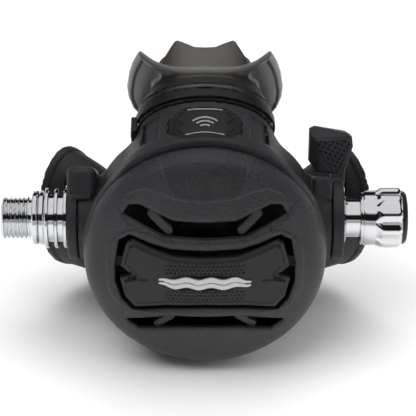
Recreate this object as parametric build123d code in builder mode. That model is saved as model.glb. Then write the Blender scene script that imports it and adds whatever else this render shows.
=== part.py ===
from build123d import *
from math import cos, radians, sin, sqrt
import os

# Scuba second stage (demand valve), millimetres.
# +X to the right of someone facing the front cover, +Y backwards to the mouthpiece, +Z up.
# Origin: on the plane it rests on, under the middle of its bounding box.

os.makedirs("parts", exist_ok=True)

# ---------------------------------------------------------------- driving dimensions
rim_y = -23.09  # plane between the front cover and the case
axis_z = 42.0  # height of the case's axis above the resting plane
valve_depth = 24.0  # valve axis behind the rim plane
half_width = 67.4  # from the middle to the hose thread's end and to the knob's end
wall = 2.4  # moulded wall of case and cover

cover_radius = 39.0
dome_radius = 95.0  # sphere that the cover's front follows
dome_height = 14.5  # its top in front of the rim plane
ring_radius = 39.4  # front ring of the case
body_radius = 37.0
body_depth = 38.0
seat_radius = 37.8  # counterbore that takes diaphragm and cover skirt
cavity_radius = 34.4

neck_tilt = 15.0  # the mouthpiece points up by this much
neck_start = (6.6, 27.5)  # neck axis at its zero station: depth behind the rim, height over the case axis
collar_station = 18.4  # where the mouthpiece's end butts on the neck
spigot_station = 27.0
flange_station = 35.0  # middle of the lip flange
boss_radius = 13.6
boss_end = 41.6
ring_end = 45.2  # outer face of the venturi lever's ring and of the clip opposite
lean = 30.0  # the venturi lever and the lugs lean back by this much from upright

neck_ovals = [(-3.0, 24.2, 13.6), (8.0, 21.6, 13.4), (collar_station, 20.9, 13.0)]
neck_floor = 15.4  # height over the case axis of the step under the mouthpiece
spigot_half = (19.6, 11.2)
passage_half = (17.2, 8.8)
label_station = 7.7
label_half_width, label_half_length = 11.5, 7.3
label_corner = 4.0
label_depth = 0.9
boot_half = (21.9, 13.6)  # the mouthpiece's end over the spigot
clamp_station = 19.4
tab_x = 13.0
tab_length = 22.0
tab_outline = [(9.0, -1.0), (8.8, 20.5), (9.8, tab_length), (12.2, 20.6), (17.2, 11.0), (17.2, -1.0)]
ridge_outline = [(9.2, 15.6), (9.2, 21.0), (11.4, 20.6), (15.2, 14.0), (14.4, 12.4)]
flange_bend = 13.0  # how far the flange's ends reach towards the mouth
flange_half_width = 26.8
# right half of the lip flange, seen along the neck
flange_outline = [
    (0, 12.2),
    (11.0, 11.6),
    (18.0, 12.4),
    (21.6, 13.2),
    (23.6, 8.4),
    (25.4, 1.0),
    (26.4, -5.6),
    (25.2, -11.6),
    (20.6, -14.4),
    (11.0, -13.0),
    (0, -12.2),
]

ring_radius_side = 14.0
lug_inner = 35.5
foot_half_width = 13.2
paddle_lean = 20.0

thread_radius = 7.14  # 9/16 inch, over the crests
thread_length = 8.0
inlet_bore_radius = 2.7
socket_radius, socket_depth = 3.6, 8.0  # takes the hose's nipple
valve_tube_radius = 7.6
valve_bore_radius = 5.0
seat_x = -28.5  # knife edge of the air inlet
lever_x = 13.0  # pin of the demand lever
lever_pin_depth = 8.2  # in front of the valve axis
lever_tip = 4.7  # its tip behind the rim plane
pin_radius = 0.75
pad_x = 27.0  # face of the spring pad
outlet_x = 11.0
spring_wire = 0.8

gland_radius = 5.9
spindle_radius = 3.0
knob_start = 51.3
knob_web = 58.4
flute_count = 10

sleeve_radius = 8.9
sleeve_start = 22.0
vane_start = 4.0
vane_lean = 45.0

diaphragm_front = 2.2  # depth of the bead's front face
purge_low = -1.4  # height of the purge button's middle over the case axis
button_proud = 0.9
button_thickness = 2.6
stem_radius = 3.6
stem_end = 1.8  # depth that the stem reaches to behind the rim plane
guide_radius = 8.0
guide_back, guide_front = 0.2, 4.0
post_x = 31.0
emblem_length, emblem_height = 32.0, 5.0

exhaust_tilt = 35.0
exhaust_depth, exhaust_height = 30.0, -20.0
exhaust_face = 9.5
exhaust_boss_radius = 11.4
exhaust_port_radius = 8.4
# across the exhaust tee: x, depth, height, turn, half depth, half height
tee_sections = [
    (0.0, 41.0, -26.2, 0.0, 13.0, 16.0),
    (20.0, 42.2, -22.8, 10.0, 12.2, 17.4),
    (34.0, 43.8, -13.4, 24.0, 11.4, 20.2),
    (47.5, 48.0, -8.5, 37.0, 11.5, 22.4),
]

# ---------------------------------------------------------------- planes and axes
valve_y = rim_y + valve_depth
case_axis = Axis((0, rim_y, axis_z), (0, 1, 0))
valve_axis = Axis((0, valve_y, axis_z), (1, 0, 0))
# local (x, height), facing forwards
front = Plane(origin=(0, rim_y, axis_z), x_dir=(1, 0, 0), z_dir=(0, -1, 0))
# local (depth, radius)
case_section = Plane(origin=(0, rim_y, axis_z), x_dir=(0, 1, 0), z_dir=(1, 0, 0))
# local (x, radius)
valve_section = Plane(origin=(0, valve_y, axis_z), x_dir=(1, 0, 0), z_dir=(0, -1, 0))


def neck_plane(station, across=0.0, up=0.0):
    """Plane square to the neck's axis: local x to the left, local y up."""
    c, s = cos(radians(neck_tilt)), sin(radians(neck_tilt))
    origin = (
        across,
        rim_y + neck_start[0] + station * c - up * s,
        axis_z + neck_start[1] + station * s + up * c,
    )
    return Plane(origin=origin, x_dir=(-1, 0, 0), z_dir=(0, c, s))


def radial_plane(x, lean_angle=lean):
    """Plane square to the valve axis at x: local x backwards, local y leaning back."""
    a = radians(lean_angle)
    return Plane(origin=(x, valve_y, axis_z), x_dir=(0, cos(a), -sin(a)), z_dir=(1, 0, 0))


def save(part, name):
    part.label = name
    export_step(part, f"parts/{name}.step")


def dome_ball(grow):
    """Ball whose surface is the cover's dome, moved outwards by grow."""
    centre = (0, rim_y - dome_height + dome_radius, axis_z)
    with BuildPart() as ball:
        with Locations(centre):
            Sphere(dome_radius + grow)
    return ball.part


def dome_depth(r):
    """Depth of the dome's surface at radius r, behind the rim plane (negative in front)."""
    return -dome_height + dome_radius - sqrt(dome_radius**2 - r**2)


def mirrored_outline(right_half):
    """Closed outline from its right half, listed from the top middle to the bottom middle."""
    return right_half + [(-x, z) for x, z in reversed(right_half) if x > 0]


# ---------------------------------------------------------------- outlines on the cover's face
waist = 8.3
purge_outline = mirrored_outline(
    [
        (0, purge_low + waist - 0.3),
        (10.2, purge_low + waist),
        (17.0, purge_low + 10.6),
        (23.0, purge_low + 13.2),
        (25.2, purge_low + 11.6),
        (27.0, purge_low + 3.4),
        (22.8, purge_low + 0.6),
        (27.2, purge_low - 1.2),
        (25.6, purge_low - 7.6),
        (22.6, purge_low - 11.6),
        (12.5, purge_low - 9.6),
        (0, purge_low - 9.0),
    ]
)
purge_hole_outline = mirrored_outline(
    [
        (0, 10.6),
        (11.2, 10.8),
        (17.4, 11.8),
        (23.6, 13.4),
        (27.0, 11.2),
        (28.4, 3.0),
        (28.4, -4.0),
        (26.6, -10.2),
        (23.2, -14.2),
        (12.5, -12.1),
        (0, -11.5),
    ]
)
upper_vent_middle = [(-9.6, 13.6), (9.6, 13.6), (12.6, 18.0), (-12.6, 18.0)]
upper_vent_arm = [(15.2, 14.8), (25.6, 19.0), (23.6, 22.2), (16.8, 19.2)]
lower_vent_middle = [(-12.0, -20.4), (12.0, -20.4), (9.8, -16.4), (-9.8, -16.4)]
lower_vent_arm = [(16.4, -21.4), (21.2, -22.6), (24.6, -19.8), (14.6, -17.6)]


def mirrored(points):
    return [(-x, z) for x, z in reversed(points)]


vent_outlines = [
    upper_vent_middle,
    upper_vent_arm,
    mirrored(upper_vent_arm),
    lower_vent_middle,
    lower_vent_arm,
    mirrored(lower_vent_arm),
]


# ---------------------------------------------------------------- shapes that several sub-parts share
def oval_tube(stations, grow=0.0):
    """Solid through ovals (station, half width, half height) along the neck."""
    with BuildPart() as tube:
        for station, a, b in stations:
            with BuildSketch(neck_plane(station)):
                Ellipse(a + grow, b + grow)
        loft()
    return tube.part


def cylinder_x(radius, x_low, x_high):
    """Solid cylinder along the valve axis."""
    with BuildPart() as rod:
        with BuildSketch(Plane(origin=(x_low, valve_y, axis_z), z_dir=(1, 0, 0))):
            Circle(radius)
        extrude(amount=x_high - x_low)
    return rod.part


def turned(profile):
    """Solid of revolution about the valve axis, from its outline in (x, radius)."""
    with BuildPart() as piece:
        with BuildSketch(valve_section):
            with BuildLine():
                Polyline(profile, close=True)
            make_face()
        revolve(axis=valve_axis)
    return piece.part


def coil(origin, direction, radius, wire, length, turns):
    """Helical spring whose wire's middle line runs from origin along direction."""
    with BuildPart() as spring:
        with BuildLine():
            path = Helix(length / turns, length, radius, center=origin, direction=direction)
        with BuildSketch(Plane(origin=path @ 0, z_dir=path % 0)):
            Circle(wire / 2)
        sweep(is_frenet=True)
    return spring.part


def face_plate(outline, low, high):
    """Block with an outline on the cover's face, between two heights in front of the rim plane."""
    with BuildPart() as plate:
        with BuildSketch(front.offset(low)):
            Polygon(outline, align=None)
        extrude(amount=high - low)
    return plate.part


def case_body(grow=0.0):
    """Bowl of revolution, cut away behind and below the mouthpiece's end."""
    ring = ring_radius + grow
    body = body_radius + grow
    back = body_depth + grow
    with BuildPart() as bowl:
        with BuildSketch(case_section):
            with BuildLine():
                Polyline((1.0, 0), (1.0, ring - 1.6))
                RadiusArc((1.0, ring - 1.6), (2.6, ring), 1.6)
                Line((2.6, ring), (6.0, ring))
                Spline((6.0, ring), (13.0, body), (26.0, body - 2.0), tangents=[(1, -0.05), (1, -0.2)])
                Spline(
                    (26.0, body - 2.0),
                    (back - 2.2, body - 9.0),
                    (back, body - 17.0),
                    tangents=[(1, -0.2), (0, -1)],
                )
                Polyline((back, body - 17.0), (back, 0), (1.0, 0))
            make_face()
        revolve(axis=case_axis)
        add(mouthpiece_room(grow), mode=Mode.SUBTRACT)
    return bowl.part


def mouthpiece_room(grow):
    """Block behind the neck's collar that the case leaves to the mouthpiece."""
    with BuildPart() as behind:
        with BuildSketch(neck_plane(collar_station - 1.6 + grow)):
            Rectangle(90, 90)
        extrude(amount=40)
        with Locations((0, rim_y + 45, axis_z + neck_floor + grow)):
            Box(100, 90, 60, align=(Align.CENTER, Align.CENTER, Align.MIN), mode=Mode.INTERSECT)
    return behind.part


def room_in_front():
    """Block in front of the case's front face."""
    with BuildPart() as block:
        with Locations((0, rim_y + 1.0, axis_z)):
            Box(120, 30, 120, align=(Align.CENTER, Align.MAX, Align.CENTER))
    return block.part


def case_cavity():
    """Air space inside the case."""
    body = body_radius - wall
    back = body_depth - wall
    with BuildPart() as cavity:
        with BuildSketch(case_section):
            with BuildLine():
                Polyline((3.5, 0), (3.5, cavity_radius), (14.0, cavity_radius))
                Spline(
                    (14.0, cavity_radius),
                    (26.0, body - 2.0),
                    (back - 1.8, body - 9.0),
                    (back, body - 18.0),
                    tangents=[(1, 0), (0, -1)],
                )
                Polyline((back, body - 18.0), (back, 0), (3.5, 0))
            make_face()
        revolve(axis=case_axis)
        add(mouthpiece_room(-wall), mode=Mode.SUBTRACT)
    return cavity.part


def neck_passage():
    """Air passage through the neck and its spigot."""
    with BuildPart() as passage:
        with BuildSketch(neck_plane(3.0)):
            Ellipse(*passage_half)
        extrude(amount=spigot_station)
    return passage.part


def exhaust_plane(distance):
    """Plane square to the exhaust valve's axis, facing backwards and down."""
    c, s = cos(radians(exhaust_tilt)), sin(radians(exhaust_tilt))
    origin = (0, rim_y + exhaust_depth + distance * c, axis_z + exhaust_height - distance * s)
    return Plane(origin=origin, x_dir=(1, 0, 0), z_dir=(0, c, -s))


def label_block():
    """Eight-sided block across the neck's top."""
    c, s = cos(radians(neck_tilt)), sin(radians(neck_tilt))
    flat = Plane(origin=neck_plane(label_station).origin, x_dir=(1, 0, 0), z_dir=(0, -s, c))
    with BuildPart() as block:
        with BuildSketch(flat):
            Rectangle(2 * label_half_width, 2 * label_half_length)
            chamfer(vertices(), label_corner)
        extrude(amount=20)
    return block.part


def side_block(x_low, x_high, back, forward, low, high, corner):
    """Block beside a boss, set square to the leaning direction."""
    with BuildPart() as lug:
        with BuildSketch(radial_plane(x_low)):
            with Locations(((back - forward) / 2, (low + high) / 2)):
                Rectangle(back + forward, high - low)
            fillet(vertices(), corner)
        extrude(amount=x_high - x_low)
    return lug.part


# ---------------------------------------------------------------- case
label_recess = label_block() - oval_tube(neck_ovals, -label_depth)

with BuildPart() as case_shell:
    add(case_body())
    for side in (-1, 1):
        add(cylinder_x(boss_radius, min(side * 20, side * boss_end), max(side * 20, side * boss_end)))
    add(side_block(lug_inner, boss_end, 2.0, 14.0, 5.7, 13.4, 2.4))
    with BuildSketch(exhaust_plane(-6)):
        Circle(exhaust_boss_radius)
    extrude(amount=exhaust_face + 6)
    add(room_in_front(), mode=Mode.SUBTRACT)
    # foot under the front ring
    with BuildSketch(front.offset(-1.0)):
        with Locations((0, -ring_radius)):
            Rectangle(2 * foot_half_width, 9.0)
        Circle(ring_radius - 2.5, mode=Mode.SUBTRACT)
        Circle(axis_z, mode=Mode.INTERSECT)
    extrude(amount=-5.0)
    # seat of the diaphragm, air space and neck passage
    with BuildSketch(front.offset(-1.0)):
        Circle(seat_radius)
    extrude(amount=-3.0, mode=Mode.SUBTRACT)
    add(case_cavity(), mode=Mode.SUBTRACT)
    add(neck_passage(), mode=Mode.SUBTRACT)
    # the valve's bore: close on the left, wider on the right for the venturi sleeve
    add(cylinder_x(valve_tube_radius + 0.05, -boss_end - 1, 0), mode=Mode.SUBTRACT)
    add(cylinder_x(sleeve_radius + 0.25, 0, boss_end + 1), mode=Mode.SUBTRACT)
    # exhaust windows around the hole of the exhaust valve's stem
    with BuildSketch(exhaust_plane(-8)):
        Circle(exhaust_port_radius)
        Circle(2.6, mode=Mode.SUBTRACT)
        Rectangle(2 * exhaust_port_radius, 1.6, mode=Mode.SUBTRACT)
        Rectangle(1.6, 2 * exhaust_port_radius, mode=Mode.SUBTRACT)
    extrude(amount=exhaust_face + 9, mode=Mode.SUBTRACT)
    with BuildSketch(exhaust_plane(-8)):
        Circle(1.3)
    extrude(amount=exhaust_face + 9, mode=Mode.SUBTRACT)
    add(label_recess, mode=Mode.SUBTRACT)
save(case_shell.part, "case_shell")

# ---------------------------------------------------------------- neck, welded to the case
with BuildPart() as neck_blank:
    add(oval_tube(neck_ovals))
    # spigot that the mouthpiece is pulled over
    with BuildSketch(neck_plane(collar_station)):
        Ellipse(*spigot_half)
    extrude(amount=spigot_station - collar_station)
    add(neck_passage(), mode=Mode.SUBTRACT)
    add(case_body(), mode=Mode.SUBTRACT)
    add(room_in_front(), mode=Mode.SUBTRACT)
    add(label_recess, mode=Mode.SUBTRACT)

with BuildPart() as case_neck:
    # without slivers beside the case's ring
    add(neck_blank.solids().sort_by(SortBy.VOLUME)[-1])
save(case_neck.part, "case_neck")

# ---------------------------------------------------------------- label plate on the neck
with BuildPart() as label_plate:
    add(label_block() & oval_tube(neck_ovals, 0.5))
    add(oval_tube(neck_ovals, -label_depth), mode=Mode.SUBTRACT)
save(label_plate.part, "label_plate")

# ---------------------------------------------------------------- front cover
with BuildPart() as front_cover:
    with BuildSketch(case_section):
        with BuildLine():
            edge_depth = dome_depth(cover_radius - 4.5)
            Polyline((0.8, 0), (0.8, cover_radius), (-3.6, cover_radius))
            Spline(
                (-3.6, cover_radius),
                (edge_depth, cover_radius - 4.5),
                tangents=[(-1, 0), (-0.35, -1)],
            )
            ThreePointArc(
                (edge_depth, cover_radius - 4.5),
                (dome_depth(20), 20),
                (-dome_height, 0),
            )
            Line((-dome_height, 0), (0.8, 0))
        make_face()
    revolve(axis=case_axis)
    # skirt that holds the diaphragm's bead in its seat
    with BuildSketch(front.offset(-diaphragm_front)):
        Circle(seat_radius - 0.2)
    extrude(amount=diaphragm_front - 0.8 + 1.0)
    # hollow
    with BuildSketch(case_section):
        with BuildLine():
            inner = cover_radius - 4.0
            Polyline((diaphragm_front, 0), (diaphragm_front, inner), (dome_depth(inner) + 3.4, inner))
            ThreePointArc(
                (dome_depth(inner) + 3.4, inner),
                (dome_depth(20) + wall, 20),
                (-dome_height + wall, 0),
            )
            Line((-dome_height + wall, 0), (diaphragm_front, 0))
        make_face()
    revolve(axis=case_axis, mode=Mode.SUBTRACT)
    # openings: purge button and water vents
    add(face_plate(purge_hole_outline, 2.0, 20.0), mode=Mode.SUBTRACT)
    for outline in vent_outlines:
        add(face_plate(outline, 2.0, 20.0), mode=Mode.SUBTRACT)
    # bar that guides the purge button's stem, on two posts
    with BuildSketch(front.offset(guide_back)):
        Circle(guide_radius)
        Rectangle(2 * post_x + 4, 4.0)
    extrude(amount=guide_front - guide_back)
    with BuildSketch(front.offset(guide_front)):
        with Locations((post_x, 0), (-post_x, 0)):
            Rectangle(4.0, 8.0)
    extrude(amount=-dome_depth(post_x) - 1.0 - guide_front)
    with BuildSketch(front.offset(-1.0)):
        Circle(stem_radius + 0.15)
    extrude(amount=12.0, mode=Mode.SUBTRACT)
save(front_cover.part, "front_cover")

# ---------------------------------------------------------------- purge button
with BuildPart() as purge_button:
    add(face_plate(purge_outline, 6.0, 20.0))
    add(dome_ball(button_proud), mode=Mode.INTERSECT)
    add(dome_ball(button_proud - button_thickness), mode=Mode.SUBTRACT)
    # stem, with the head that keeps it in its guide
    with BuildSketch(front.offset(0.0)):
        Circle(stem_radius)
    extrude(amount=dome_height - 1.6)
    with BuildSketch(front.offset(0.0)):
        Circle(stem_radius + 0.8)
    extrude(amount=-stem_end)
    # shelf that the emblem lies in
    with BuildSketch(front.offset(dome_height + button_proud - 0.7)):
        with Locations((0, purge_low)):
            RectangleRounded(emblem_length + 0.6, emblem_height + 0.6, 1.6)
    extrude(amount=3.0, mode=Mode.SUBTRACT)
save(purge_button.part, "purge_button")

with BuildPart() as purge_emblem:
    with BuildSketch(front.offset(dome_height + button_proud - 0.7)):
        with Locations((0, purge_low)):
            RectangleRounded(emblem_length, emblem_height, 1.4)
    extrude(amount=1.1)
    fillet(purge_emblem.faces().sort_by(Axis.Y)[0].edges(), 0.4)
save(purge_emblem.part, "purge_emblem")

purge_spring = coil(
    (0, rim_y - guide_front - spring_wire / 2, axis_z),
    (0, -1, 0),
    stem_radius + 1.4,
    spring_wire,
    dome_height + button_proud - button_thickness - guide_front - spring_wire - 0.6,
    4,
)
save(purge_spring, "purge_spring")

# ---------------------------------------------------------------- diaphragm
with BuildPart() as diaphragm:
    with BuildSketch(case_section):
        with BuildLine():
            Polyline(
                (diaphragm_front, seat_radius - 0.1),
                (4.0, seat_radius - 0.1),
                (4.0, cavity_radius + 0.3),
                (3.4, cavity_radius - 0.4),
            )
            Spline((3.4, cavity_radius - 0.4), (2.0, 28.0), (3.7, 20.0), tangents=[(-0.6, -1), (0, -1)])
            Polyline((3.7, 20.0), (3.7, 12.5), (3.0, 12.5), (3.0, 20.0))
            Spline(
                (3.0, 20.0),
                (1.3, 28.0),
                (diaphragm_front, cavity_radius + 0.3),
                tangents=[(0, 1), (0.6, 1)],
            )
            Line((diaphragm_front, cavity_radius + 0.3), (diaphragm_front, seat_radius - 0.1))
        make_face()
    revolve(axis=case_axis)
save(diaphragm.part, "diaphragm")

with BuildPart() as diaphragm_plate:
    with BuildSketch(front.offset(-3.7)):
        Circle(14.0)
    extrude(amount=-0.9)
    with BuildSketch(front.offset(-3.7)):
        Circle(12.4)
    extrude(amount=0.7)
save(diaphragm_plate.part, "diaphragm_plate")

with BuildPart() as diaphragm_washer:
    with BuildSketch(front.offset(-3.0)):
        Circle(13.2)
    extrude(amount=0.9)
    fillet(diaphragm_washer.faces().sort_by(Axis.Y)[0].edges(), 0.4)
save(diaphragm_washer.part, "diaphragm_washer")

# ---------------------------------------------------------------- inlet
thread_start = -half_width + 0.6
thread_end = thread_start + thread_length
fin_profile = []
for x_low, x_high, radius in (
    (-57.2, -55.25, 9.0),
    (-55.05, -53.1, 9.0),
    (-52.9, -51.6, 10.2),
    (-49.8, -48.5, 10.2),
    (-46.8, -45.5, 10.2),
):
    fin_profile += [(x_low, 8.1), (x_low, radius), (x_high, radius), (x_high, 8.1)]
with BuildPart() as inlet_fitting:
    add(
        turned(
            [
                (-half_width, inlet_bore_radius),
                (-half_width, thread_radius - 0.8),
                (thread_start, thread_radius),
                (thread_end, thread_radius),
                (thread_end, thread_radius - 0.9),
                (-57.2, thread_radius - 0.9),
            ]
            + fin_profile
            + [(-45.4, valve_tube_radius), (-36.2, valve_tube_radius), (-36.2, inlet_bore_radius)]
        )
    )
    with BuildSketch(Plane(origin=(-45.4, valve_y, axis_z), z_dir=(1, 0, 0))):
        RegularPolygon(8.7, 6)
    extrude(amount=3.6)
    add(cylinder_x(inlet_bore_radius, -half_width - 1, -36), mode=Mode.SUBTRACT)
    add(cylinder_x(socket_radius, -half_width - 1, -half_width + socket_depth), mode=Mode.SUBTRACT)
    add(cylinder_x(8.0, -39.8, -38.2) - cylinder_x(6.5, -40, -38), mode=Mode.SUBTRACT)
save(inlet_fitting.part, "inlet_fitting")

with BuildPart() as inlet_o_ring:
    with BuildSketch(valve_section):
        with Locations((-39.0, valve_tube_radius - 0.5)):
            Circle(0.5)
    revolve(axis=valve_axis)
save(inlet_o_ring.part, "inlet_o_ring")

with BuildPart() as inlet_clip:
    add(cylinder_x(ring_radius_side, -ring_end, -boss_end - 0.1))
    add(side_block(-ring_end, -lug_inner, 3.0, 14.6, 5.7, 16.6, 2.6))
    add(cylinder_x(9.0, -ring_end - 1, -boss_end + 1), mode=Mode.SUBTRACT)
    add(cylinder_x(boss_radius + 0.2, -boss_end - 0.1, -lug_inner + 1), mode=Mode.SUBTRACT)
save(inlet_clip.part, "inlet_clip")

# ---------------------------------------------------------------- demand valve inside the case
with BuildPart() as valve_tube:
    add(cylinder_x(valve_tube_radius, -36.0, 45.7))
    # ears for the demand lever's pin
    with BuildSketch(Plane(origin=(lever_x, valve_y, axis_z - 5.6), z_dir=(0, 0, 1))):
        with Locations((0, -lever_pin_depth + 2.0)):
            Rectangle(4.2, 7.0)
    extrude(amount=11.2)
    add(cylinder_x(valve_bore_radius, -37, 46), mode=Mode.SUBTRACT)
    add(cylinder_x(gland_radius + 0.05, 37.8, 46), mode=Mode.SUBTRACT)
    # window for the lever, between the ears
    with Locations((lever_x - 0.8, valve_y, axis_z)):
        Box(9.6, 30, 8.4, align=(Align.CENTER, Align.MAX, Align.CENTER), mode=Mode.SUBTRACT)
    # air outlet towards the neck
    with BuildSketch(Plane(origin=(outlet_x, valve_y, axis_z), z_dir=(0, 1, 1))):
        SlotOverall(10, 5.0)
    extrude(amount=12, mode=Mode.SUBTRACT)
    with BuildSketch(Plane(origin=(lever_x, valve_y - lever_pin_depth, axis_z - 6), z_dir=(0, 0, 1))):
        Circle(pin_radius + 0.02)
    extrude(amount=12, mode=Mode.SUBTRACT)
save(valve_tube.part, "valve_tube")

with BuildPart() as lever_pin:
    with BuildSketch(Plane(origin=(lever_x, valve_y - lever_pin_depth, axis_z - 5.9), z_dir=(0, 0, 1))):
        Circle(pin_radius)
    extrude(amount=11.8)
save(lever_pin.part, "lever_pin")

orifice_seat = turned(
    [
        (-36.0, 1.7),
        (-36.0, 4.95),
        (-31.0, 4.95),
        (-31.0, 3.6),
        (seat_x, 2.2),
        (seat_x, 1.7),
    ]
)
save(orifice_seat, "orifice_seat")

poppet = turned(
    [
        (seat_x + 1.2, 0),
        (seat_x + 1.2, 3.0),
        (seat_x + 0.5, 3.0),
        (seat_x + 0.5, 4.6),
        (seat_x + 4.4, 4.6),
        (seat_x + 5.2, 2.2),
        (-6.0, 2.2),
        (-6.0, 4.7),
        (-3.0, 4.7),
        (-3.0, 2.2),
        (lever_x + 0.5, 2.2),
        (lever_x + 0.5, 4.6),
        (lever_x + 1.9, 4.6),
        (lever_x + 1.9, 2.6),
        (lever_x + 4.6, 2.6),
        (lever_x + 4.6, 0),
    ]
)
save(poppet, "poppet")

poppet_seat = cylinder_x(3.0, seat_x + 0.05, seat_x + 1.2)
save(poppet_seat, "poppet_seat")

poppet_spring = coil(
    (lever_x + 1.9 + spring_wire / 2, valve_y, axis_z),
    (1, 0, 0),
    3.7,
    spring_wire,
    pad_x - lever_x - 1.9 - spring_wire,
    6,
)
save(poppet_spring, "poppet_spring")

with BuildPart() as demand_lever:
    pin_height = valve_depth - lever_pin_depth
    arm_half_width = 2.6
    with BuildSketch(Plane(origin=(0, rim_y, axis_z - arm_half_width), z_dir=(0, 0, 1))):
        with BuildLine():
            Polyline(
                (lever_x + 0.4, pin_height),
                (lever_x + 0.4, pin_height + 5.2),
                (lever_x - 0.4, pin_height + 5.2),
                (lever_x - 0.4, pin_height + 0.6),
                (0.6, lever_tip + 0.9),
                (-1.6, lever_tip + 0.9),
                (-1.6, lever_tip),
                (0.9, lever_tip),
                (lever_x, pin_height - 1.0),
                close=True,
            )
        make_face()
        with Locations((lever_x, pin_height)):
            Circle(1.6)
        with Locations((-1.6, lever_tip + 0.8)):
            Circle(0.8)
        with Locations((lever_x, pin_height)):
            Circle(pin_radius + 0.05, mode=Mode.SUBTRACT)
    extrude(amount=2 * arm_half_width)
    # fork that straddles the poppet's stem
    with Locations((lever_x, valve_y + 1.0, axis_z)):
        Box(6.0, 5.0, 4.9, align=(Align.CENTER, Align.MAX, Align.CENTER), mode=Mode.SUBTRACT)
save(demand_lever.part, "demand_lever")

# ---------------------------------------------------------------- breathing-effort knob
knob_gland = turned(
    [
        (38.0, spindle_radius + 0.05),
        (38.0, gland_radius),
        (45.8, gland_radius),
        (45.8, 8.6),
        (46.5, 8.6),
        (46.5, 6.5),
        (53.6, 6.5),
        (53.6, spindle_radius + 0.9),
        (51.4, spindle_radius + 0.9),
        (51.4, spindle_radius + 0.05),
    ]
)
save(knob_gland, "knob_gland")

with BuildPart() as spindle_o_ring:
    with BuildSketch(valve_section):
        with Locations((52.0, spindle_radius + 0.46)):
            Circle(0.42)
    revolve(axis=valve_axis)
save(spindle_o_ring.part, "spindle_o_ring")

with BuildPart() as spring_pad:
    add(cylinder_x(4.7, pad_x, pad_x + 1.6))
    add(cylinder_x(2.4, pad_x - 2.2, pad_x))
save(spring_pad.part, "spring_pad")

spindle = cylinder_x(spindle_radius, pad_x + 1.6, knob_web)
save(spindle, "spindle")

knob_end = half_width - 2.2
with BuildPart() as adjusting_knob:
    add(
        turned(
            [
                (knob_start, 7.0),
                (knob_start, 8.8),
                (knob_start + 0.5, 9.2),
                (56.4, 9.2),
                (58.6, 10.1),
                (knob_end - 0.8, 10.1),
                (knob_end, 9.4),
                (knob_end, 0),
                (knob_web, 0),
                (knob_web, 7.0),
            ]
        )
    )
    for turn in range(flute_count):
        angle = radians(360 * (turn + 0.5) / flute_count)
        groove = Plane(
            origin=(57.0, valve_y + 10.9 * cos(angle), axis_z + 10.9 * sin(angle)),
            z_dir=(1, 0, 0),
        )
        with BuildSketch(groove):
            Circle(1.2)
        extrude(amount=12, mode=Mode.SUBTRACT)
save(adjusting_knob.part, "adjusting_knob")

with BuildPart() as knob_cap:
    add(cylinder_x(8.9, knob_end, half_width))
    fillet(knob_cap.faces().sort_by(Axis.X)[-1].edges(), 1.4)
save(knob_cap.part, "knob_cap")

# ---------------------------------------------------------------- venturi lever
with BuildPart() as venturi_lever:
    add(cylinder_x(ring_radius_side, boss_end + 0.1, ring_end + 0.5))
    paddle_plane = Plane(
        origin=(0, valve_y, axis_z),
        x_dir=(1, 0, 0),
        z_dir=(0, -cos(radians(paddle_lean)), sin(radians(paddle_lean))),
    )
    with BuildSketch(paddle_plane.offset(-3.0)):
        Polygon(
            (boss_end + 0.1, 11.0),
            (ring_end + 0.5, 11.0),
            (ring_end + 1.0, 16.6),
            (48.8, 24.4),
            (48.4, 27.8),
            (46.6, 28.9),
            (36.2, 30.6),
            (34.5, 29.4),
            (34.2, 19.0),
            (36.4, 15.6),
            (boss_end + 0.1, 15.4),
            align=None,
        )
    extrude(amount=7.0)
    add(cylinder_x(sleeve_radius, boss_end - 1, ring_end + 2), mode=Mode.SUBTRACT)
save(venturi_lever.part, "venturi_lever")

with BuildPart() as venturi_vane:
    add(cylinder_x(sleeve_radius, sleeve_start, ring_end + 0.5))
    with BuildSketch(radial_plane(vane_start, vane_lean)):
        Circle(sleeve_radius)
        with Locations((0, 0)):
            Rectangle(7.0, 12.0, align=(Align.CENTER, Align.MIN), mode=Mode.INTERSECT)
    extrude(amount=sleeve_start - vane_start)
    add(cylinder_x(valve_tube_radius + 0.2, 0, ring_end + 2), mode=Mode.SUBTRACT)
save(venturi_vane.part, "venturi_vane")

# ---------------------------------------------------------------- exhaust
with BuildPart() as exhaust_valve:
    with BuildSketch(exhaust_plane(exhaust_face)):
        Circle(exhaust_port_radius + 1.8)
    extrude(amount=0.9)
    with BuildSketch(exhaust_plane(exhaust_face)):
        Circle(1.25)
    extrude(amount=-7.0)
    with BuildSketch(exhaust_plane(exhaust_face + 0.9)):
        Circle(2.2)
    extrude(amount=1.2)
save(exhaust_valve.part, "exhaust_valve")


def tee_plane(x, depth, height, turn):
    """Plane across the tee's passage, turned backwards by an angle in degrees."""
    c, s = cos(radians(turn)), sin(radians(turn))
    return Plane(origin=(x, rim_y + depth, axis_z + height), x_dir=(-s, c, 0), z_dir=(c, s, 0))


def tee_solid(grow):
    """The tee's outside, or its passage when grow is negative."""
    with BuildPart() as tee:
        for x, depth, height, turn, a, b in tee_sections:
            with BuildSketch(tee_plane(x, depth, height, turn)):
                Ellipse(a + grow, b + grow)
        loft()
        mirror(about=Plane.YZ)
    return tee.part


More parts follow.
